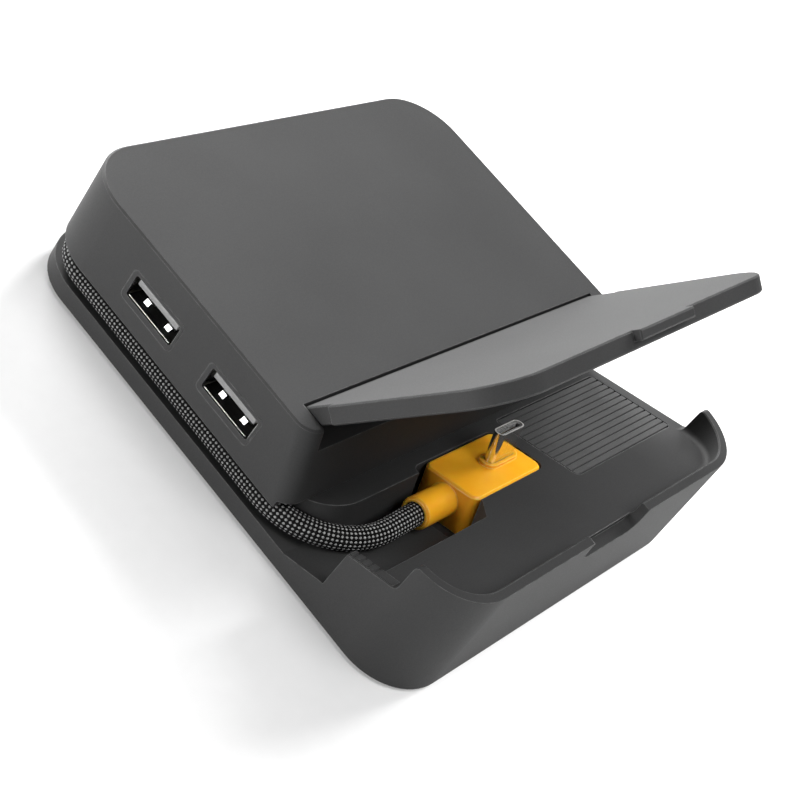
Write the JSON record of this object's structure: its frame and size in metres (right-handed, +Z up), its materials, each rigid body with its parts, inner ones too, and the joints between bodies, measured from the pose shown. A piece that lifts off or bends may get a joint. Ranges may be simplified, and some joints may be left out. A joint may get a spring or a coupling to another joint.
{
  "type": "handheld console dock",
  "caption": "Box-shaped tabletop dock for a handheld console: sloped tray with an upright connector, a hinged lid, sockets in the side and back, and a cable held in a groove.",
  "frame": {"origin": "on the table, under the middle of the rectangular footprint", "axes": "+Z up; -Y towards the front lip, where the console goes in; -X the side with the two sockets; rest pose with the lid open by 55 degrees"},
  "size_m": [0.103, 0.1064, 0.0608],
  "materials": {
    "base_tray": "fine satin texture",
    "upper_housing": "fine satin texture",
    "bottom_cover": "fine satin texture",
    "lid": "fine satin texture",
    "hinge_pin_left": "ground",
    "hinge_pin_right": "ground",
    "tray_pad_right": "matt, with moulded slits",
    "tray_pad_left": "matt, with moulded slits",
    "plug_overmould": "satin",
    "plug_shell": "bright plated",
    "plug_insert": "as moulded",
    "plug_contacts": "gold plated",
    "cable": "braided sleeve, black with light specks",
    "cable_grommet": "matt",
    "side_socket_front_shell": "bright stamped sheet",
    "side_socket_front_tongue": "as moulded",
    "side_socket_front_contacts": "gold plated",
    "side_socket_rear_shell": "bright stamped sheet",
    "side_socket_rear_tongue": "as moulded",
    "side_socket_rear_contacts": "gold plated",
    "video_socket_shell": "bright stamped sheet",
    "video_socket_tongue": "as moulded",
    "power_socket_shell": "bright stamped sheet",
    "power_socket_tongue": "as moulded",
    "circuit_board": "solder mask",
    "board_chips": "moulded package",
    "board_screws": "zinc plated",
    "cover_screws": "blackened",
    "feet": "matt"
  },
  "bodies": {
    "dock": {"base_tray": "base_tray", "upper_housing": "upper_housing", "bottom_cover": "bottom_cover", "hinge_pin_left": "hinge_pin_left", "hinge_pin_right": "hinge_pin_right", "tray_pad_right": "tray_pad_right", "tray_pad_left": "tray_pad_left", "plug_overmould": "plug_overmould", "plug_shell": "plug_shell", "plug_insert": "plug_insert", "plug_contacts": "plug_contacts", "cable": "cable", "cable_grommet": "cable_grommet", "side_socket_front_shell": "side_socket_front_shell", "side_socket_front_tongue": "side_socket_front_tongue", "side_socket_front_contacts": "side_socket_front_contacts", "side_socket_rear_shell": "side_socket_rear_shell", "side_socket_rear_tongue": "side_socket_rear_tongue", "side_socket_rear_contacts": "side_socket_rear_contacts", "video_socket_shell": "video_socket_shell", "video_socket_tongue": "video_socket_tongue", "power_socket_shell": "power_socket_shell", "power_socket_tongue": "power_socket_tongue", "circuit_board": "circuit_board", "board_chips": "board_chips", "board_screws": "board_screws", "cover_screws": "cover_screws", "feet": "feet"},
    "lid": {"lid": "lid"}
  },
  "joints": [
    {"name": "lid_hinge", "type": "hinge", "parent": "dock", "child": "lid", "pos_m": [0, -0.00775, 0.02445], "axis": [-1, 0, 0], "range_deg": [-55, 46]}
  ]
}
